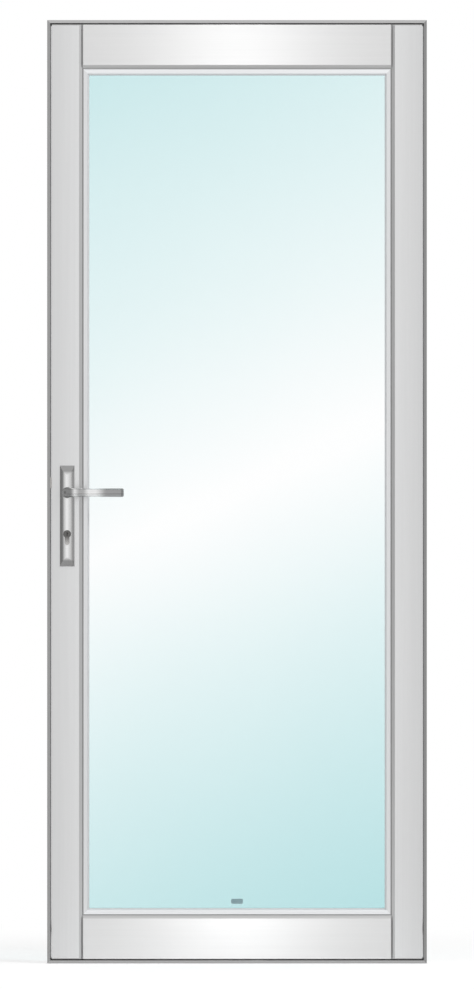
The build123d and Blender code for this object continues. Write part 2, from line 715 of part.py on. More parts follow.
def follower():
    """Hub of the lock turned by the spindle, with the arm that draws the latch back."""
    y0, y1 = LOCK_Y - CASE_T / 2, LOCK_Y + CASE_T / 2
    inner = CASE_WALL + 0.3
    hub = through(Circle(FOLLOWER_R), SPINDLE_X, SPINDLE_Z, y0 + inner, y1 - inner)
    hub += through(Circle(FOLLOWER_JOURNAL_R), SPINDLE_X, SPINDLE_Z, y0, y1)
    arm = Pos(0, ARM_R / 2) * Rectangle(2 * ARM_TIP_R, ARM_R) + Pos(0, ARM_R) * Circle(ARM_TIP_R)
    hub += through(arm, SPINDLE_X, SPINDLE_Z, LOCK_Y - 3, LOCK_Y + 3)
    square = Rectangle(SPINDLE + 0.1, SPINDLE + 0.1)
    return hub - through(square, SPINDLE_X, SPINDLE_Z, y0 - 1, y1 + 1)


def latch_bolt():
    """Spring latch, bevelled on the side that meets the strike as the leaf closes, with its tail."""
    tip = FACEPLATE_X - LATCH_OUT
    back = SPINDLE_X - 10.0
    half = LATCH_T / 2
    outline = Polyline((back, LOCK_Y - half), (tip + 9.5, LOCK_Y - half),
                       (tip, LOCK_Y + half - 3.5), (tip, LOCK_Y + half), (back, LOCK_Y + half),
                       close=True)
    part = upright(make_face(outline), 0, 0, *LATCH_Z)
    lug_x = SPINDLE_X + ARM_TIP_R + 0.7
    tail_z = SPINDLE_Z + ARM_R + ARM_TIP_R + 1.0
    part += block(back - 1, lug_x + 5.0, LOCK_Y - 3, LOCK_Y + 3, tail_z, tail_z + 5.0)
    part += block(lug_x, lug_x + 5.0, LOCK_Y - 3, LOCK_Y + 3, SPINDLE_Z + 9.5, tail_z + 1.0)
    return part


def deadbolt():
    """Square bolt, drawn back flush with the faceplate."""
    half = BOLT_T / 2
    part = block(FACEPLATE_X, FACEPLATE_X + 28.0, LOCK_Y - half, LOCK_Y + half, *BOLT_Z)
    return chamfer(part.faces().sort_by(Axis.X)[0].edges(), 0.8)


# Handle

def plate_screw_z():
    return (PLATE_Z - PLATE_SCREW_Z, PLATE_Z + PLATE_SCREW_Z)


def cambered_plate():
    """Front long plate, cambered across its width, its ends falling away."""
    half_w, half_h = PLATE_W / 2, PLATE_H / 2
    face = -LEAF_T / 2
    edge, crown = face - PLATE_EDGE, face - PLATE_CROWN
    outline = [Line((-half_w, face), (half_w, face)), Line((half_w, face), (half_w, edge)),
               ThreePointArc((half_w, edge), (0, crown), (-half_w, edge)),
               Line((-half_w, edge), (-half_w, face))]
    part = upright(make_face(outline), SPINDLE_X, 0, PLATE_Z - half_h, PLATE_Z + half_h)
    ramp = 18.0
    profile = Polyline((face, -half_h), (edge, -half_h), (crown, -half_h + ramp),
                       (crown, half_h - ramp), (edge, half_h), (face, half_h), close=True)
    part &= across(make_face(profile), 0, PLATE_Z, SPINDLE_X - half_w, SPINDLE_X + half_w)
    return part


def handle_plate_front():
    part = cambered_plate()
    y0, y1 = -LEAF_T / 2 - PLATE_CROWN - 1, -LEAF_T / 2 + 1
    part -= through(Circle(NECK_R + RUNNING), SPINDLE_X, SPINDLE_Z, y0, y1)
    part -= through(euro_profile(0.2), SPINDLE_X, CYLINDER_Z, y0, y1)
    for z in plate_screw_z():
        part -= through(Circle(2.6), SPINDLE_X, z, -LEAF_T / 2 - 3.2, y1)
    return part


def handle_plate_back():
    part = cambered_plate()
    y0, y1 = -LEAF_T / 2 - PLATE_CROWN - 1, -LEAF_T / 2 + 1
    part -= through(Circle(NECK_R + RUNNING), SPINDLE_X, SPINDLE_Z, y0, y1)
    part -= through(euro_profile(0.2), SPINDLE_X, CYLINDER_Z, y0, y1)
    part = mirror(part, about=Plane.XZ)
    for z in plate_screw_z():
        part -= screw_seat(SPINDLE_X, plate_screw_head_y(), z, (0, -1, 0), 20, 2.5, 4.5)
        part -= through(Circle(4.65), SPINDLE_X, z, plate_screw_head_y(), LEAF_T)
    return part


def plate_screw_head_y():
    return LEAF_T / 2 + PLATE_EDGE + 0.9


def plate_screws():
    """Two screws from the back plate through the leaf into the front plate."""
    length = plate_screw_head_y() + LEAF_T / 2 + 3.0
    return Compound([countersunk(SPINDLE_X, plate_screw_head_y(), z, (0, -1, 0), length, 2.5, 4.5)
                     for z in plate_screw_z()])


def lever():
    """Front lever: round bar that leaves the plate on a neck and turns along the leaf."""
    start = BAR_R + 0.7
    waist = BAR_R - 0.4
    groove_x = LEVER_LENGTH - 12.5
    groove_w = 1.2
    groove_r = BAR_R - 0.7
    tip_round = 2.0
    tip = LEVER_LENGTH
    profile = [
        ThreePointArc((-start, 0), (-start * 0.5 ** 0.5, start * 0.5 ** 0.5), (0, start)),
        Polyline((0, start), (32, waist), (groove_x, BAR_R), (groove_x, groove_r),
                 (groove_x + groove_w, groove_r), (groove_x + groove_w, BAR_R),
                 (tip - tip_round, BAR_R), (tip, BAR_R - tip_round), (tip, 0), (-start, 0)),
    ]
    bar = revolve(make_face(profile), axis=Axis.X)
    part = Pos(SPINDLE_X, -BAR_Y, SPINDLE_Z) * bar
    crown = -LEAF_T / 2 - PLATE_CROWN
    part += through(Circle(NECK_R), SPINDLE_X, SPINDLE_Z, -BAR_Y, -LEAF_T / 2 - 1)
    collar = through(Circle(NECK_R + 3.2), SPINDLE_X, SPINDLE_Z, crown - 5.0, crown - 0.4)
    part += chamfer(collar.faces().sort_by(Axis.Y)[0].edges(), 1.2)
    square = Rectangle(SPINDLE + 0.1, SPINDLE + 0.1)
    part -= through(square, SPINDLE_X, SPINDLE_Z, -BAR_Y + 6, -LEAF_T / 2)
    part -= grub_hole()
    return part


GRUB_Y = 45.0


def grub_hole():
    return upright(Circle(2.5), SPINDLE_X, -GRUB_Y, SPINDLE_Z - NECK_R - 1, SPINDLE_Z - SPINDLE / 2)


def lever_front():
    return lever()


def lever_back():
    return mirror(lever(), about=Plane.XZ)


def grub_screws():
    """Socket screws that clamp the levers on the spindle."""
    z1 = SPINDLE_Z - SPINDLE / 2 - 0.1
    screw = upright(Circle(2.45), SPINDLE_X, -GRUB_Y, z1 - 4.5, z1)
    screw -= upright(RegularPolygon(1.4, 6), SPINDLE_X, -GRUB_Y, z1 - 5, z1 - 2.5)
    return Compound([screw.solid(), mirror(screw, about=Plane.XZ).solid()])


def spindle():
    """Square bar that joins both levers through the follower."""
    reach = BAR_Y - 8.0
    bar = block(SPINDLE_X - SPINDLE / 2, SPINDLE_X + SPINDLE / 2, -reach, reach,
                SPINDLE_Z - SPINDLE / 2, SPINDLE_Z + SPINDLE / 2)
    return chamfer(bar.edges().filter_by(Axis.Y), 0.4)


# Hinges

def hinge_frame_screw_places():
    """Height and depth of the screws that hold the frame halves to the jamb."""
    return [(z + end * 61.0, y) for z in HINGE_Z for end in (-1, 1) for y in (31.5, 40.5)]


def hinge_leaf_screw_places():
    """Place across and height of the screws that hold the leaf halves to the stile."""
    return [(x, z + end * 36.0) for z in HINGE_Z for end in (-1, 1) for x in (369.0, 391.0)]


def barrel(z0, z1, bore_r):
    ring = Circle(BARREL_R) - Circle(bore_r)
    return upright(ring, AXIS_X, AXIS_Y, z0, z1)


def hinge_frame_half(z):
    """Two outer knuckles on a plate screwed to the jamb, open where the leaf's knuckle turns."""
    gap = KNUCKLE_HALF + 1.0
    plate_half = 72.0
    x0, x1 = WEB_X - WING_T, WEB_X
    y0, y1 = 27.0, FRAME_BACK
    plate = across(RectangleRounded(y1 - y0, 2 * plate_half, 2.5), (y0 + y1) / 2, z, x0, x1)
    plate -= block(x0 - 1, x1 + 1, y0 - 1, AXIS_Y + BARREL_R + 1.0, z - gap, z + gap)
    part = plate
    for end in (-1, 1):
        ends = sorted((z + end * gap, z + end * BARREL_HALF))
        part += upright(Circle(BARREL_R), AXIS_X, AXIS_Y, *ends)
        part += block(AXIS_X, x1, AXIS_Y - 3, AXIS_Y + BARREL_R, *ends)
    part -= upright(Circle(PIN_R + 0.02), AXIS_X, AXIS_Y, z - 60, z + 60)
    for screw_z, y in hinge_frame_screw_places():
        if abs(screw_z - z) < plate_half:
            part -= screw_seat(x0, y, screw_z, (1, 0, 0), 5.4, 2.0, 3.8)
    return part


def hinge_leaf_half(z):
    """Middle knuckle on a wing that lies on the back of the stile."""
    y0 = LEAF_T / 2
    clear_x = AXIS_X - BARREL_R - 2.0
    width = clear_x - 360.0
    wing = through(RectangleRounded(width, 2 * BARREL_HALF, 3.0), 360.0 + width / 2, z, y0,
                   y0 + WING_T)
    tongue = block(clear_x - 3, AXIS_X, y0, y0 + WING_T, z - KNUCKLE_HALF, z + KNUCKLE_HALF)
    part = wing + tongue
    part += upright(Circle(BARREL_R), AXIS_X, AXIS_Y, z - KNUCKLE_HALF, z + KNUCKLE_HALF)
    part -= upright(Circle(BUSH_R + 0.02), AXIS_X, AXIS_Y, z - 60, z + 60)
    for x, screw_z in hinge_leaf_screw_places():
        if abs(screw_z - z) < BARREL_HALF:
            part -= screw_seat(x, y0 + WING_T, screw_z, (0, -1, 0), 11.6, 2.0, 3.8)
    return part


def hinge_bushes():
    """Plastic bushes in the leaf's knuckles, their flanges keeping the knuckles apart."""
    solids = []
    for z in HINGE_Z:
        top = z + KNUCKLE_HALF
        sleeve = Circle(BUSH_R) - Circle(PIN_R + RUNNING)
        flange = Circle(BARREL_R) - Circle(PIN_R + RUNNING)
        bush = upright(sleeve, AXIS_X, AXIS_Y, z + 0.2, top)
        bush += upright(flange, AXIS_X, AXIS_Y, top, top + 0.8)
        solids += [bush.solid(), mirror(bush, about=Plane.XY.offset(z)).solid()]
    return Compound(solids)


def hinge_pins():
    """Pins with a bevelled cap at each end."""
    solids = []
    cap = 3.0
    cap_r = WEB_X - WING_T - AXIS_X - 0.1
    for z in HINGE_Z:
        pin = upright(Circle(PIN_R), AXIS_X, AXIS_Y, z - BARREL_HALF, z + BARREL_HALF)
        for end in (-1, 1):
            ends = sorted((z + end * BARREL_HALF, z + end * (BARREL_HALF + cap)))
            disc = upright(Circle(cap_r), AXIS_X, AXIS_Y, *ends)
            face = disc.faces().sort_by(Axis.Z)[-1 if end > 0 else 0]
            pin += chamfer(face.edges(), 1.5)
        solids.append(pin.solid())
    return Compound(solids)


def hinge_frame_screws():
    return Compound([countersunk(WEB_X - WING_T, y, z, (1, 0, 0), 5.3, 2.0, 3.8)
                     for z, y in hinge_frame_screw_places()])


def hinge_leaf_screws():
    return Compound([countersunk(x, LEAF_T / 2 + WING_T, z, (0, -1, 0), 11.5, 2.0, 3.8)
                     for x, z in hinge_leaf_screw_places()])


PARTS = {
    "frame_jamb_lock": frame_side("lock"),
    "frame_jamb_hinge": frame_side("hinge"),
    "frame_head": frame_side("top"),
    "frame_sill": frame_side("bottom"),
    "frame_seal": frame_seal(),
    "corner_brackets": corner_brackets(),
    "corner_bracket_screws": corner_bracket_screws(),
    "strike_plate": strike_plate(),
    "strike_screws": strike_screws(),
    "hinge_pins": hinge_pins(),
    "hinge_frame_screws": hinge_frame_screws(),
    "leaf_stile_lock": leaf_stile_lock(),
    "leaf_stile_hinge": leaf_stile_hinge(),
    "leaf_rail_top": leaf_rail("top"),
    "leaf_rail_bottom": leaf_rail("bottom"),
    "rail_joint_gaskets": rail_joint_gaskets(),
    "stile_end_caps": end_caps(),
    "rail_cleats": rail_cleats(),
    "tie_screws": tie_screws(),
    "glass_pane_front": glass_pane(True),
    "glass_pane_back": glass_pane(False),
    "glass_spacer": glass_spacer(),
    "glass_edge_seal": glass_edge_seal(),
    "glazing_seal_front": front_seal(),
    "glazing_seal_back": back_seal(),
    "bead_lock_side": bead("lock"),
    "bead_hinge_side": bead("hinge"),
    "bead_top": bead("top"),
    "bead_bottom": bead("bottom"),
    "setting_blocks": setting_blocks(),
    "lock_faceplate": lock_faceplate(),
    "lock_case": lock_case(),
    "faceplate_screws": faceplate_screws(),
    "cylinder_body": cylinder_body(),
    "cylinder_screw": cylinder_screw(),
    "handle_plate_front": handle_plate_front(),
    "handle_plate_back": handle_plate_back(),
    "plate_screws": plate_screws(),
    "hinge_bushes": hinge_bushes(),
    "hinge_leaf_screws": hinge_leaf_screws(),
    "lever_front": lever_front(),
    "lever_back": lever_back(),
    "grub_screws": grub_screws(),
    "spindle": spindle(),
    "follower": follower(),
    "latch_bolt": latch_bolt(),
    "deadbolt": deadbolt(),
    "plug_front": plug_front(),
    "cylinder_cam": cylinder_cam(),
    "plug_back": plug_back(),
}
for place, height in zip(("bottom", "middle", "top"), HINGE_Z):
    PARTS[f"hinge_{place}_frame_half"] = hinge_frame_half(height)
    PARTS[f"hinge_{place}_leaf_half"] = hinge_leaf_half(height)

os.makedirs("parts", exist_ok=True)
for name, shape in PARTS.items():
    export_step(shape, f"parts/{name}.step")
print(len(PARTS), "nodes written")
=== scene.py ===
# %% [markdown]
# An aluminium framed glass door, seen straight from the front. The solid model already has every
# profile, screw and lock piece, so this lesson is about finish: how satin anodised aluminium,
# brushed stainless steel, tinted glass and soft seals are told apart with shader nodes and light.

# %% Load the frame
import bpy
import bmesh
from math import cos, radians, sin
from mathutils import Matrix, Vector


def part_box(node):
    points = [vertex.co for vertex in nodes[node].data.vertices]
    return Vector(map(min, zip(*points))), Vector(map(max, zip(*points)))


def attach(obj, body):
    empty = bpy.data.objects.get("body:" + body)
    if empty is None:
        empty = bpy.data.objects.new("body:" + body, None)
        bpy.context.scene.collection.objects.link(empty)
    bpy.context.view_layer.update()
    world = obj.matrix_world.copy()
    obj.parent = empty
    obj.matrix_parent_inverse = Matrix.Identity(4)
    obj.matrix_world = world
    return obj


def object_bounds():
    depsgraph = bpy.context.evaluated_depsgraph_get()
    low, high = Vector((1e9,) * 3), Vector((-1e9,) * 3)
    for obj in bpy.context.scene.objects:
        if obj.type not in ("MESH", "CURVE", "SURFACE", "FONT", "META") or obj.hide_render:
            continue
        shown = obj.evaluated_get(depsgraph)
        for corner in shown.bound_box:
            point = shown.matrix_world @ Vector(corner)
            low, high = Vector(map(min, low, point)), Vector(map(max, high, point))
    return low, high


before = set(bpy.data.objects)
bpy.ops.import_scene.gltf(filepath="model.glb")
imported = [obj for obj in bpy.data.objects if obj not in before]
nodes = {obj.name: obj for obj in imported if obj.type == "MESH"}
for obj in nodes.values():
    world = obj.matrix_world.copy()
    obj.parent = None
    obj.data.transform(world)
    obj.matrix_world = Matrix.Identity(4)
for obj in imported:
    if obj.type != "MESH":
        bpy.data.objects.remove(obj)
cad_low, cad_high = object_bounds()
MM = 0.001
print("nodes:", len(nodes), "size in mm:", [round(v / MM) for v in cad_high - cad_low])

# %% [markdown]
# The picture is a front elevation: nothing in it gets smaller with distance. A long lens far away
# gives that look and still lets the camera be walked round the door. The lens follows from how much
# height the picture shows, so it is worked out and not guessed.

# %% Camera
PICTURE_SIZE = (474, 989)
MM_PER_PIXEL = 2.2258
DOOR_MIDDLE_PIXEL = 237.0
FLOOR_PIXEL = 963.5
CAMERA_DISTANCE = 26.0
SENSOR = 36.0
picture_height = PICTURE_SIZE[1] * MM_PER_PIXEL * MM
aim_x = (PICTURE_SIZE[0] / 2 - DOOR_MIDDLE_PIXEL) * MM_PER_PIXEL * MM
aim_z = (FLOOR_PIXEL - PICTURE_SIZE[1] / 2) * MM_PER_PIXEL * MM
front_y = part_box("leaf_stile_lock")[0].y
scene = bpy.context.scene
camera = bpy.data.objects.new("camera", bpy.data.cameras.new("camera"))
camera.data.sensor_width = SENSOR
camera.data.lens = SENSOR * CAMERA_DISTANCE / picture_height
camera.data.clip_end = 4 * CAMERA_DISTANCE
camera.location = (aim_x, front_y - CAMERA_DISTANCE, aim_z)
camera.rotation_euler = (radians(90), 0, 0)
scene.collection.objects.link(camera)
scene.camera = camera
print("lens", round(camera.data.lens, 1), "mm, aimed at height", round(aim_z, 3), "m")

# %% [markdown]
# Shader trees are built in code, so a small helper adds a node, fills its sockets and sets its
# options in one call. A socket gets either a value or another node's output. The Mix node has one
# set of sockets for each kind of data, so its colour sockets go by number.

# %% Helpers for shader trees
MIX_SHARE, MIX_FIRST, MIX_SECOND, MIX_RESULT = 0, 6, 7, 2


def new_tree(tree):
    """Empties a node tree and returns a helper that adds a node with settings."""
    tree.nodes.clear()

    def add(kind, inputs=None, **settings):
        node = tree.nodes.new(kind)
        for key, value in settings.items():
            setattr(node, key, value)
        for key, value in (inputs or {}).items():
            if isinstance(value, bpy.types.NodeSocket):
                tree.links.new(value, node.inputs[key])
            else:
                node.inputs[key].default_value = value
        return node
    return add


def material_tree(name):
    """A new material, and the helper that fills its node tree."""
    material = bpy.data.materials.new(name)
    material.use_nodes = True
    return material, new_tree(material.node_tree)


def show(add, shader):
    """Sends a shader to the material's output."""
    add("ShaderNodeOutputMaterial", {"Surface": shader.outputs[0]})


def calc(add, operation, first, second=0.0):
    """The output of one Math node."""
    return add("ShaderNodeMath", {0: first, 1: second}, operation=operation).outputs[0]


def off_centre(add, value, centre):
    """How far a value is from a centre, on either side."""
    return calc(add, "ABSOLUTE", calc(add, "SUBTRACT", value, centre))


def ramp(add, value, low, high, to_low=0.0, to_high=1.0, smooth=False):
    """Spreads a value that runs from low to high over another range, and stops at its ends."""
    node = add("ShaderNodeMapRange", {"Value": value, "From Min": low, "From Max": high,
                                      "To Min": to_low, "To Max": to_high},
               interpolation_type="SMOOTHSTEP" if smooth else "LINEAR")
    return node.outputs[0]


def mix_colour(add, share, first, second):
    """Mixes two colours, given as values or as outputs, by a share."""
    inputs = {MIX_SHARE: share}
    for socket, colour in ((MIX_FIRST, first), (MIX_SECOND, second)):
        inputs[socket] = (*colour, 1.0) if isinstance(colour, tuple) else colour
    return add("ShaderNodeMix", inputs, data_type="RGBA").outputs[MIX_RESULT]


def grey(value):
    """A grey for a colour socket."""
    return (value, value, value, 1.0)


def tone(value, warmth=0.0):
    """A near-grey colour; warmth moves it towards red, and below zero towards blue."""
    return (value * (1 + warmth), value, value * (1 - warmth))


def object_axes(add):
    """The object's own coordinates, one output for each of x, y and z."""
    place = add("ShaderNodeTexCoord")
    split = add("ShaderNodeSeparateXYZ", {0: place.outputs["Object"]})
    return split.outputs["X"], split.outputs["Y"], split.outputs["Z"]


print("shader helpers ready")

# %% [markdown]
# Noise on object coordinates, with its own scale along each axis, is the base of every finish on
# the door. Most of its values lie between 0.3 and 0.7, so that range is spread over what is wanted.
# The last helper turns a mesh that is being built into an object.

# %% Helpers for noise and meshes
NOISE_RANGE = (0.3, 0.7)


def stretched(add, scale, detail=2.0):
    """Noise on object coordinates, with its own scale along each axis."""
    place = add("ShaderNodeTexCoord")
    turned = add("ShaderNodeMapping", {"Vector": place.outputs["Object"], "Scale": scale})
    noise = add("ShaderNodeTexNoise", {"Vector": turned.outputs[0], "Scale": 1.0,
                                       "Detail": detail})
    return noise.outputs["Fac"]


def around(add, noise, middle, swing):
    """A value that noise moves up and down around its middle."""
    return ramp(add, noise, *NOISE_RANGE, middle - swing, middle + swing)


def finished(bm, name, material):
    """Turns a bmesh into an object at the origin, with its faces pointing outwards."""
    bmesh.ops.recalc_face_normals(bm, faces=bm.faces[:])
    mesh = bpy.data.meshes.new(name)
    bm.to_mesh(mesh)
    bm.free()
    mesh.materials.append(material)
    piece = bpy.data.objects.new(name, mesh)
    scene.collection.objects.link(piece)
    return piece


print("noise runs from", NOISE_RANGE[0], "to", NOISE_RANGE[1])

# %% [markdown]
# The white behind the door is not a wall with light on it: the world shader tells camera, glossy
# and transmission rays that they see plain white, and gives every other ray the softer sky that
# lights the scene. The floor does the same, and more so further from the door, so that it is white
# in the picture and still keeps the door's soft shadow close to it.

# %% World and floor
SKY_LIGHT = 0.55
FLOOR_RADIUS = 60.0
FLOOR_CORNERS = 64
FLOOR_PALE = 0.9
FLOOR_GLOW = 0.36
GLOW_FROM, GLOW_TO = 0.7, 2.2


def seen_rays(add):
    """1 for a ray that shows a surface to the camera, straight, mirrored or through glass."""
    path = add("ShaderNodeLightPath")
    seen = calc(add, "MAXIMUM", path.outputs["Is Camera Ray"], path.outputs["Is Glossy Ray"])
    return calc(add, "MAXIMUM", seen, path.outputs["Is Transmission Ray"])


scene.view_settings.view_transform = "Standard"
world = bpy.data.worlds.new("studio")
scene.world = world
world.use_nodes = True
add = new_tree(world.node_tree)
sky = add("ShaderNodeBackground", {"Color": grey(1.0), "Strength": SKY_LIGHT})
white = add("ShaderNodeBackground", {"Color": grey(1.0), "Strength": 1.0})
both = add("ShaderNodeMixShader", {0: seen_rays(add), 1: sky.outputs[0], 2: white.outputs[0]})
add("ShaderNodeOutputWorld", {"Surface": both.outputs[0]})

floor_finish, add = material_tree("floor")
floor_x, floor_y, _ = object_axes(add)
square_x = calc(add, "MULTIPLY", floor_x, floor_x)
square_y = calc(add, "MULTIPLY", floor_y, floor_y)
from_door = calc(add, "SQRT", calc(add, "ADD", square_x, square_y))
seen = seen_rays(add)
pale = add("ShaderNodeBsdfDiffuse", {"Color": grey(FLOOR_PALE)})
glow = add("ShaderNodeEmission", {"Color": grey(1.0),
                                  "Strength": calc(add, "MULTIPLY", seen, FLOOR_GLOW)})
near = add("ShaderNodeAddShader", {0: pale.outputs[0], 1: glow.outputs[0]})
plain = add("ShaderNodeEmission", {"Color": grey(1.0), "Strength": 1.0})
far = calc(add, "MULTIPLY", ramp(add, from_door, GLOW_FROM, GLOW_TO, smooth=True), seen)
show(add, add("ShaderNodeMixShader", {0: far, 1: near.outputs[0], 2: plain.outputs[0]}))
bm = bmesh.new()
bmesh.ops.create_circle(bm, cap_ends=True, segments=FLOOR_CORNERS, radius=FLOOR_RADIUS)
finished(bm, "floor", floor_finish)
print("floor", 2 * FLOOR_RADIUS, "m across, sky at", SKY_LIGHT)

# %% [markdown]
# A polished or satin metal shows what stands around it, so a white room gives it one flat tone.
# Photographers stand grey cards, called flags, beside the camera: the faces that slope to the left
# then mirror the left card and go darker than those that look straight out. Here each card is a
# glowing grey sheet that only mirror rays meet, so it casts no shadow and lights nothing dull.

# %% Cards
# Each card's name, tone, one corner, and the two edges that leave it, in metres.
CARDS = (("card_left", 0.50, (-1.55, -2.1, 0.01), (-1.5, 1.1, 0), (0, 0, 2.6)),
         ("card_right", 0.66, (1.15, -2.1, 0.01), (1.6, 1.1, 0), (0, 0, 2.6)),
         ("card_low", 0.36, (-0.5, -1.8, 0.02), (1.0, 0, 0), (0, 0.6, 0)))


def card(name, value, corner, across, up):
    """A flat grey sheet from one corner along two edges, seen by mirror rays alone."""
    material, add = material_tree(name)
    show(add, add("ShaderNodeEmission", {"Color": grey(1.0), "Strength": value}))
    start, side, top = Vector(corner), Vector(across), Vector(up)
    bm = bmesh.new()
    ring = [bm.verts.new(p) for p in (start, start + side, start + side + top, start + top)]
    bm.faces.new(ring)
    sheet = finished(bm, name, material)
    for kind in ("camera", "diffuse", "transmission", "shadow"):
        setattr(sheet, "visible_" + kind, False)


for settings in CARDS:
    card(*settings)
print("cards:", [settings[0] for settings in CARDS])

# %% [markdown]
# The lamps: a large soft one above and to the right, which gives the fine shadow lines, a weak fill
# from the left that only lights and is not mirrored, and a narrow upright one in front of each
# rail, whose blurred mirror image is the rail's bright middle. Clear glass would show that image
# sharp, so these lamps are linked to the rails alone.

# %% Lamps
LAMP_AIM = (0, 0, aim_z)
KEY_PLACE, KEY_SIZE, KEY_POWER = (3.2, -3.4, 4.6), (1.6, 1.6), 90
FILL_PLACE, FILL_SIZE, FILL_POWER = (-3.0, -4.0, 1.6), (2.5, 2.5), 25
STRIP_Y = -1.3
STRIP_WIDTH = 0.16
# Each strip's rail, its height and length in metres, and its power in watts.
STRIPS = (("leaf_rail_top", 2.09, 0.50, 0.62), ("leaf_rail_bottom", 0.19, 0.34, 0.80))


def lamp(name, place, aim, size, power, only=()):
    """A soft rectangular lamp that the camera doesn't see, for the nodes in only if it has any."""
    data = bpy.data.lights.new(name, "AREA")
    data.shape = "RECTANGLE"
    data.size, data.size_y = size
    data.energy = power
    obj = bpy.data.objects.new(name, data)
    obj.location = place
    obj.rotation_euler = (Vector(aim) - Vector(place)).to_track_quat("-Z", "Y").to_euler()
    obj.visible_camera = False
    obj.visible_transmission = False
    scene.collection.objects.link(obj)
    if only:
        lit = bpy.data.collections.new("lit_by_" + name)
        obj.light_linking.receiver_collection = lit
        for node in only:
            lit.objects.link(nodes[node])
    return obj


lamp("key", KEY_PLACE, LAMP_AIM, KEY_SIZE, KEY_POWER)
lamp("fill", FILL_PLACE, LAMP_AIM, FILL_SIZE, FILL_POWER).visible_glossy = False
for rail, height, length, power in STRIPS:
    lamp("strip_" + rail, (0, STRIP_Y, height), (0, 0, height), (STRIP_WIDTH, length), power,
         only=(rail,))

# %% [markdown]
# Anodised aluminium is metal with a thin hard skin. It is never one flat grey: the bar was drawn
# through a die, which leaves faint streaks along its length, and etching before the bath leaves a
# satin bloom. A noise texture stretched along the bar gives the streaks and a fine noise the bloom.
# Streaks spread a mirror image across themselves, so the tangent points across the grain. Deep in
# the narrow gap round the leaf a satin face would go black, since it scatters the view into the
# gap's walls. The faces there are left smooth, and mirror the view straight back out.

# %% Drawn metal
GRAIN_LONG, GRAIN_FINE = 3.0, 260.0
ALONG = {"x": (GRAIN_LONG, GRAIN_FINE, GRAIN_FINE), "y": (GRAIN_FINE, GRAIN_LONG, GRAIN_FINE),
         "z": (GRAIN_FINE, GRAIN_FINE, GRAIN_LONG)}
TANGENT_AXIS = {"x": "X", "z": "Z"}
BLOOM_SCALE = (900.0, 900.0, 900.0)
ROUGHNESS_SWING = 0.03
STREAK_STRENGTH, STREAK_DEPTH = 0.25, 0.00001
SMOOTH_ROUGHNESS = 0.06
X, Y, Z = 0, 1, 2


def smooth_band(add, axis, centre, reach, half):
    """1 where a coordinate lies within half of centre plus or minus reach, and 0 elsewhere."""
    off = off_centre(add, off_centre(add, object_axes(add)[axis], centre), reach)
    return calc(add, "LESS_THAN", off, half)


def drawn_metal(name, grain, dark, light, roughness=0.34, anisotropy=0.15, over=None, smooth=()):
    """Metal with streaks along x, y or z; over(add) gives a share and a tone laid over it, and
    each smooth band keeps the die's smooth face, as where a seal slides."""
    material, add = material_tree(name)
    streaks = stretched(add, ALONG[grain])
    bloom = stretched(add, BLOOM_SCALE, detail=1.0)
    colour = mix_colour(add, ramp(add, streaks, *NOISE_RANGE), dark, light)
    if over:
        share, laid = over(add)
        colour = mix_colour(add, share, colour, laid)
    rough = around(add, bloom, roughness, ROUGHNESS_SWING)
    for band in smooth:
        share = smooth_band(add, *band)
        kept = calc(add, "MULTIPLY", rough, calc(add, "SUBTRACT", 1.0, share))
        rough = calc(add, "ADD", kept, calc(add, "MULTIPLY", share, SMOOTH_ROUGHNESS))
    bump = add("ShaderNodeBump", {"Height": streaks, "Strength": STREAK_STRENGTH,
                                  "Distance": STREAK_DEPTH})
    inputs = {"Base Color": colour, "Metallic": 1.0, "Roughness": rough,
              "Anisotropic": anisotropy, "Normal": bump.outputs[0]}
    if grain in TANGENT_AXIS:
        tangent = add("ShaderNodeTangent", direction_type="RADIAL", axis=TANGENT_AXIS[grain])
        inputs["Tangent"] = tangent.outputs[0]
    show(add, add("ShaderNodeBsdfPrincipled", inputs))
    return material


print("streaks run", round(GRAIN_FINE / GRAIN_LONG), "times longer than wide")

# %% [markdown]
# Some places get painted shade, darker tones laid where a drawn elevation shows shade: the frame's
# front lip, the groove beside the bead, the slope round the pane and the stile's outer side. Each
# function here returns how much of the place a point belongs to, and the painted shade laid over
# it.

# %% Painted shade
NOSE_Y = front_y + 0.003
NOSE_BLUR = 0.0005
GROOVE_FROM, GROOVE_TO = 0.0028, 0.0022
GROOVE_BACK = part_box("bead_top")[0].y + 0.001
GROOVE_BLUR = 0.0002
SLOPE_WIDTH = 0.007
SLOPE_BLUR = 0.0003
STILE_OUTER = 0.066
STILE_OUTER_SHARE = 0.45
RAIL_SLOPE_SHARE = 0.55
rebate_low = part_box("bead_hinge_side")[0].z
rebate_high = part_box("bead_hinge_side")[1].z
rebate_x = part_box("bead_top")[1].x
rebate_middle = (rebate_low + rebate_high) / 2
rebate_reach = (rebate_high - rebate_low) / 2


def nose_painted_shade(value):
    """Painted shade on the frame's front lip, toned darker than the rest of the bar."""
    def over(add):
        _, depth, _ = object_axes(add)
        return ramp(add, depth, NOSE_Y + NOSE_BLUR, NOSE_Y - NOSE_BLUR), tone(value)
    return over


def groove_painted_shade(axis, centre, reach, value):
    """Painted shade at the foot of the bead's outer groove, which is toned dark."""
    def over(add):
        axes = object_axes(add)
        off = off_centre(add, axes[axis], centre)
        outer = ramp(add, off, reach - GROOVE_FROM, reach - GROOVE_TO)
        deep = ramp(add, axes[Y], GROOVE_BACK - GROOVE_BLUR, GROOVE_BACK + GROOVE_BLUR)
        return calc(add, "MULTIPLY", outer, deep), tone(value)
    return over


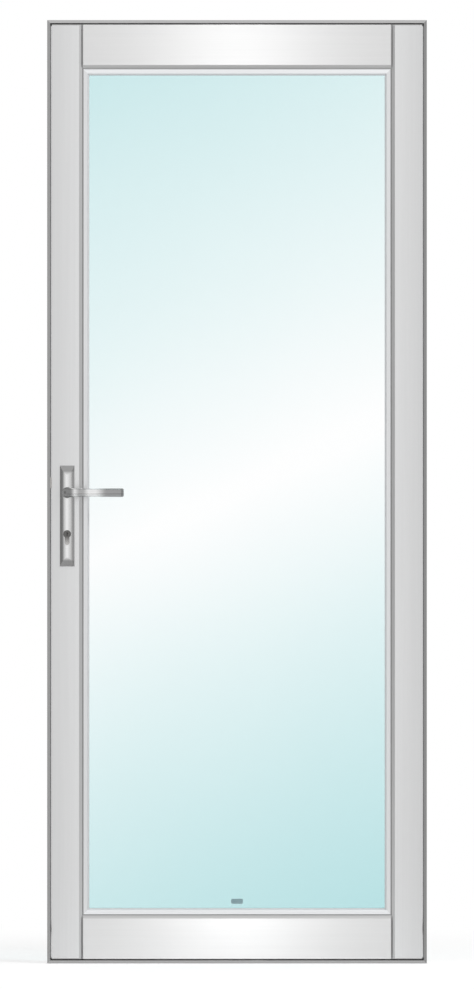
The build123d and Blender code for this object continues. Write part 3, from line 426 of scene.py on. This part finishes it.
def stile_painted_shade(add):
    """Painted shade, darker towards the stile face's outer edge and on its inner slope."""
    x, _, _ = object_axes(add)
    off = calc(add, "SUBTRACT", calc(add, "ABSOLUTE", x), rebate_x)
    outer = ramp(add, off, SLOPE_WIDTH, STILE_OUTER, 0.0, STILE_OUTER_SHARE)
    slope = ramp(add, off, SLOPE_WIDTH + SLOPE_BLUR, SLOPE_WIDTH - SLOPE_BLUR)
    return calc(add, "MAXIMUM", outer, slope), tone(0.56, -0.003)


def rail_slope_painted_shade(add):
    """Painted shade on the rail's slope, most at its foot beside the bead."""
    _, _, z = object_axes(add)
    off = off_centre(add, z, rebate_middle)
    slope = ramp(add, off, rebate_reach, rebate_reach + SLOPE_WIDTH, 1.0, RAIL_SLOPE_SHARE)
    inside = calc(add, "LESS_THAN", off, rebate_reach + SLOPE_WIDTH)
    return calc(add, "MULTIPLY", slope, inside), tone(0.48)


print("rebate from", round(rebate_low / MM, 1), "to", round(rebate_high / MM, 1), "mm up")

# %% [markdown]
# The aluminium finishes themselves. The rails are drawn darker than the stiles, because the strip
# lamps light them too, and the beads are lighter. A band names an axis, a centre, how far on both
# sides of it the smooth face lies, and half the face's width.

# %% Aluminium finishes
MIDDLE_Z = (cad_low.z + cad_high.z) / 2
LAP = (Y, 0.013, 0.0, 0.005)
LEAF_ENDS = (Z, MIDDLE_Z, 1.040, 0.0006)
HEAD_INSIDE = (Z, MIDDLE_Z, 1.043, 0.0006)
BAR = (tone(0.64), tone(0.67))
stile_metal = drawn_metal("stile_anodised", "z", tone(0.71, -0.004), tone(0.73, -0.004),
                          over=stile_painted_shade, smooth=(LAP,))
rail_metal = drawn_metal("rail_anodised", "x", tone(0.645), tone(0.66), over=rail_slope_painted_shade,
                         smooth=(LAP, LEAF_ENDS))
# The bead grooves get painted shade, darker beside the stiles than beside the rails.
bead_upright = drawn_metal("bead_anodised_upright", "z", tone(0.70, -0.01), tone(0.74, -0.01),
                           over=groove_painted_shade(X, 0.0, rebate_x, 0.30))
bead_level = drawn_metal("bead_anodised_level", "x", tone(0.82, -0.015), tone(0.86, -0.015),
                         over=groove_painted_shade(Z, rebate_middle, rebate_reach, 0.42))
# Each bar's front lip gets its own painted shade: lightest on the head, then the sill, the left
# jamb, and darkest on the right jamb.
jamb_left = drawn_metal("jamb_anodised_left", "z", *BAR, over=nose_painted_shade(0.33))
jamb_right = drawn_metal("jamb_anodised_right", "z", *BAR, over=nose_painted_shade(0.27))
head_metal = drawn_metal("head_anodised", "x", *BAR, over=nose_painted_shade(0.48), smooth=(HEAD_INSIDE,))
sill_metal = drawn_metal("sill_anodised", "x", *BAR, over=nose_painted_shade(0.41), smooth=(HEAD_INSIDE,))
mill_metal = drawn_metal("mill_aluminium", "z", tone(0.55), tone(0.65), roughness=0.45)
print("aluminium finishes:", len([m for m in bpy.data.materials if "anodised" in m.name]))

# %% [markdown]
# The handle is brushed stainless steel. Its long plate carries a painted reflection: brighter on
# its crown and painted darker where it falls away to its edges and ends. The lever is turned bar
# with a painted reflection along it, bright between its root and the start of its last third but
# for a short waist, and darkest at its tip. The lock cylinder is a warmer satin nickel with painted
# shade that darkens it towards its top.

# %% Painted reflection and shade on the handle and cylinder
PLATE_LOW, PLATE_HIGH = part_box("handle_plate_front")
PLATE_MIDDLE = (PLATE_LOW + PLATE_HIGH) / 2
PLATE_HALF = (PLATE_HIGH - PLATE_LOW) / 2
CROWN_EDGE, PLATE_EDGE = 0.10, 0.72
PLATE_END_FROM, PLATE_END_TO = 0.021, 0.012
PLATE_RIGHT_SHARE = 0.80
PLATE_RIGHT_BLUR = 0.001
SHADE_BELOW_TOP = 0.014
LEVER_LOW, LEVER_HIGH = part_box("lever_front")
LEVER_REACH = LEVER_HIGH.x - LEVER_LOW.x
ROOT_FROM, ROOT_TO = 0.14, 0.24
WAIST_AT, WAIST_INNER, WAIST_OUTER, WAIST_SHARE = 0.32, 0.02, 0.13, 0.7
END_FROM, END_TO, END_SHARE = 0.54, 0.74, 0.82
TIP_FROM, TIP_TO = 0.93, 0.97


def plate_painted_reflection(add):
    """Painted reflection: darker to the plate's long edges, less at the right, on its sloping ends.
    """
    x, _, z = object_axes(add)
    side = off_centre(add, x, PLATE_MIDDLE.x)
    end = off_centre(add, z, PLATE_MIDDLE.z)
    sides = ramp(add, side, CROWN_EDGE * PLATE_HALF.x, PLATE_EDGE * PLATE_HALF.x)
    right = ramp(add, x, PLATE_MIDDLE.x, PLATE_MIDDLE.x + PLATE_RIGHT_BLUR,
                 1.0, PLATE_RIGHT_SHARE)
    sides = calc(add, "MULTIPLY", sides, right)
    ends = ramp(add, end, PLATE_HALF.z - PLATE_END_FROM, PLATE_HALF.z - PLATE_END_TO)
    return calc(add, "MAXIMUM", sides, ends), tone(0.32)


def cylinder_painted_shade(add):
    """Painted shade: the cylinder face is darkest at the top and gets lighter downwards."""
    _, _, z = object_axes(add)
    low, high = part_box("cylinder_body")
    return ramp(add, z, low.z, high.z - SHADE_BELOW_TOP), tone(0.13, 0.02)


def lever_painted_reflection(add):
    """Painted reflection: darker at the root, a short waist, the last third and most at the tip."""
    x, _, _ = object_axes(add)
    along = calc(add, "DIVIDE", calc(add, "SUBTRACT", x, LEVER_LOW.x), LEVER_REACH)
    root = ramp(add, along, ROOT_FROM, ROOT_TO, 1.0, 0.0, smooth=True)
    waist = ramp(add, off_centre(add, along, WAIST_AT), WAIST_INNER, WAIST_OUTER,
                 WAIST_SHARE, 0.0, smooth=True)
    end = ramp(add, along, END_FROM, END_TO, 0.0, END_SHARE, smooth=True)
    tip = ramp(add, along, TIP_FROM, TIP_TO)
    shares = calc(add, "MAXIMUM", calc(add, "MAXIMUM", root, waist), end)
    return calc(add, "MAXIMUM", shares, tip), tone(0.22)


print("lever reaches", round(LEVER_REACH / MM), "mm, plate is", round(2 * PLATE_HALF.z / MM), "mm")

# %% [markdown]
# The steels are the same drawn metal with other tones and less roughness. Brushing shows as a
# stronger anisotropy. Hinges are satin steel, and screws are zinc plated and a little blue.

# %% Steels
BRUSHED = {"roughness": 0.2, "anisotropy": 0.4}
brushed_lever = drawn_metal("brushed_lever", "x", tone(0.76), tone(0.84), over=lever_painted_reflection,
                            **BRUSHED)
brushed_plate = drawn_metal("brushed_plate", "z", tone(0.76), tone(0.84), over=plate_painted_reflection,
                            **BRUSHED)
satin_hinge = drawn_metal("satin_hinge", "z", tone(0.5), tone(0.62), roughness=0.3)
satin_plate = drawn_metal("satin_plate", "z", tone(0.45), tone(0.6), roughness=0.28)
zinc = drawn_metal("zinc_plated", "y", tone(0.45, -0.02), tone(0.62, -0.02), roughness=0.3,
                   anisotropy=0.0)
nickel = drawn_metal("satin_nickel", "y", tone(0.42, 0.03), tone(0.52, 0.03), roughness=0.26,
                     anisotropy=0.0)
cylinder_nickel = drawn_metal("cylinder_nickel", "y", tone(0.50, 0.02), tone(0.58, 0.02),
                              roughness=0.26, anisotropy=0.0, over=cylinder_painted_shade)
print("steel finishes ready")

# %% [markdown]
# Seals, packers and caps don't shine. A little fine noise in colour, roughness and bump keeps a
# moulded surface from looking like paint.

# %% Rubber and plastic
MOULD_SCALE = (700.0, 700.0, 700.0)
MOULD_SWING = 0.08
MOULD_STRENGTH, MOULD_DEPTH = 0.2, 0.00005


def moulded(name, dark, light, roughness):
    """Soft or hard plastic with a fine moulded grain."""
    material, add = material_tree(name)
    speckle = stretched(add, MOULD_SCALE, detail=3.0)
    colour = mix_colour(add, ramp(add, speckle, *NOISE_RANGE), dark, light)
    rough = around(add, speckle, roughness, MOULD_SWING)
    bump = add("ShaderNodeBump", {"Height": speckle, "Strength": MOULD_STRENGTH,
                                  "Distance": MOULD_DEPTH})
    show(add, add("ShaderNodeBsdfPrincipled", {"Base Color": colour, "Roughness": rough,
                                               "Normal": bump.outputs[0]}))
    return material


gap_rubber = moulded("gap_rubber", tone(0.62), tone(0.68), roughness=0.75)
joint_rubber = moulded("joint_rubber", tone(0.36), tone(0.41), roughness=0.8)
pale_rubber = moulded("pale_rubber", tone(0.80, -0.02), tone(0.85, -0.02), roughness=0.7)
sealant = moulded("edge_sealant", tone(0.03), tone(0.045), roughness=0.6)
cap_plastic = moulded("cap_plastic", tone(0.5), tone(0.56), roughness=0.5)
packer_plastic = moulded("packer_plastic", tone(0.03), tone(0.05), roughness=0.5)
print("soft finishes ready")

# %% [markdown]
# The glass is a sealed pair of panes. Each one lets light through with a faint blue-green tint; a
# broad slanting band where that tint is weaker is a painted reflection. Each pane also mirrors a
# little of the studio at its faces. A sight line crosses four faces, and each of them tints, so one
# face needs only a fraction of the tint.
# A Fresnel node would turn the inner faces into full mirrors at a slant, because the light isn't
# really bent here, so the mirror's share grows with the fifth power of Layer Weight's Facing.

# %% Glass
UPPER_TILT, UPPER_EDGE = 29.0, 0.93
LOWER_TILT, LOWER_EDGE = 22.0, 0.97
LOWER_RATE = 1.37
DEEP_AT = 1.3
CLOUD_SCALE = (1.6, 1.6, 1.6)
CLOUD_SWING = 0.03
PAINTED_SHEEN_TINT = (0.997, 0.999, 0.999)
DEEP_TINT = (0.830, 0.930, 0.936)
MIRROR_SHARE = 0.034
MIRROR_POWER = 5.0
MIRROR_ROUGHNESS = 0.02


def past_line(add, x, z, tilt, edge):
    """How far a point is past a line that rises to the right at a tilt."""
    level = calc(add, "MULTIPLY", z, cos(radians(tilt)))
    lean = calc(add, "MULTIPLY", x, sin(radians(tilt)))
    return calc(add, "SUBTRACT", calc(add, "SUBTRACT", level, lean), edge)


pane_glass, add = material_tree("pane_glass")
pane_x, _, pane_z = object_axes(add)
# The clear slanting band is a painted reflection: the tint fades to near clear along it.
upper = past_line(add, pane_x, pane_z, UPPER_TILT, UPPER_EDGE)
lower = past_line(add, pane_x, pane_z, LOWER_TILT, LOWER_EDGE)
away = calc(add, "MAXIMUM", upper, calc(add, "MULTIPLY", lower, -LOWER_RATE))
cloud = stretched(add, CLOUD_SCALE, detail=1.0)
away = calc(add, "ADD", away, around(add, cloud, 0.0, CLOUD_SWING))
tint = mix_colour(add, ramp(add, away, 0.0, DEEP_AT), PAINTED_SHEEN_TINT, DEEP_TINT)
through = add("ShaderNodeBsdfTransparent", {"Color": tint})
mirror = add("ShaderNodeBsdfGlossy", {"Color": grey(1.0), "Roughness": MIRROR_ROUGHNESS})
facing = add("ShaderNodeLayerWeight", {"Blend": 0.5}).outputs["Facing"]
edge = ramp(add, calc(add, "POWER", facing, MIRROR_POWER), 0.0, 1.0, MIRROR_SHARE, 1.0)
show(add, add("ShaderNodeMixShader", {0: edge, 1: through.outputs[0], 2: mirror.outputs[0]}))
print("glass band tilted", LOWER_TILT, "to", UPPER_TILT, "degrees")

# %% [markdown]
# Every solid gets its finish by name. A table from the start of the name keeps this short, the
# longest start that fits wins, and a name that fits none stops the script, so that nothing stays a
# flat grey.

# %% Give every node its finish
FINISHES = {
    "frame_jamb_lock": jamb_left, "frame_jamb_hinge": jamb_right, "frame_head": head_metal,
    "frame_sill": sill_metal, "frame_seal": gap_rubber, "corner_brackets": satin_plate,
    "corner_bracket_screws": zinc, "strike_plate": satin_plate, "strike_screws": zinc,
    "hinge_pins": satin_hinge, "hinge_frame_screws": zinc, "hinge_leaf_screws": zinc,
    "hinge_bushes": packer_plastic, "hinge_": satin_hinge, "leaf_stile": stile_metal,
    "leaf_rail": rail_metal, "rail_joint": joint_rubber, "rail_cleats": mill_metal,
    "stile_end_caps": cap_plastic, "tie_screws": zinc, "glass_pane": pane_glass,
    "glass_spacer": mill_metal, "glass_edge_seal": sealant, "glazing_seal": pale_rubber,
    "bead_lock": bead_upright, "bead_hinge": bead_upright, "bead_": bead_level,
    "setting_blocks": packer_plastic, "lock_faceplate": satin_plate, "lock_case": zinc,
    "faceplate_screws": zinc, "cylinder_body": cylinder_nickel, "cylinder_screw": zinc,
    "cylinder_cam": zinc, "plug_": cylinder_nickel, "handle_plate": brushed_plate,
    "plate_screws": zinc, "lever_": brushed_lever, "grub_screws": zinc, "spindle": zinc,
    "follower": zinc, "latch_bolt": nickel, "deadbolt": nickel,
}


def finish_of(name):
    """The finish whose start of a name fits best."""
    fits = [start for start in FINISHES if name.startswith(start)]
    if not fits:
        raise ValueError(f"no finish for {name}")
    return FINISHES[max(fits, key=len)]


for name, node in nodes.items():
    node.data.materials.clear()
    node.data.materials.append(finish_of(name))
print("finished nodes:", len(nodes))

# %% [markdown]
# Sealed units carry a small etched mark near their lower edge. This one is plain, without any
# lettering: a thin frosted patch, made as a sheet with rounded corners that lies on the front pane.

# %% Etched patch
PATCH_SIZE = (0.026, 0.011)
PATCH_THICK = 0.0002
PATCH_UP = 0.031
PATCH_CORNER, CORNER_STEPS = 0.003, 6
FROST_SCALE = (1500.0, 1500.0, 1500.0)
FROST_DARK, FROST_LIGHT = (0.20, 0.33, 0.36), (0.34, 0.47, 0.50)
frosted, add = material_tree("etched_patch")
hazy = mix_colour(add, ramp(add, stretched(add, FROST_SCALE), *NOISE_RANGE), FROST_DARK,
                  FROST_LIGHT)
show(add, add("ShaderNodeBsdfPrincipled", {"Base Color": hazy, "Roughness": 0.6}))
pane_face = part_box("glass_pane_front")[0].y
bm = bmesh.new()
bmesh.ops.create_cube(bm, size=1.0)
bmesh.ops.scale(bm, verts=bm.verts[:], vec=(PATCH_SIZE[0], PATCH_THICK, PATCH_SIZE[1]))
corners = [e for e in bm.edges if abs(e.verts[0].co.y - e.verts[1].co.y) > PATCH_THICK / 2]
bmesh.ops.bevel(bm, geom=corners, offset=PATCH_CORNER, segments=CORNER_STEPS, profile=0.5,
                affect="EDGES", material=-1)
bmesh.ops.translate(bm, verts=bm.verts[:],
                    vec=(0, pane_face - PATCH_THICK / 2, rebate_low + PATCH_UP))
patch = finished(bm, "etched_patch", frosted)
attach(patch, "leaf")
print("etched patch at height", round(rebate_low + PATCH_UP, 4), "m")
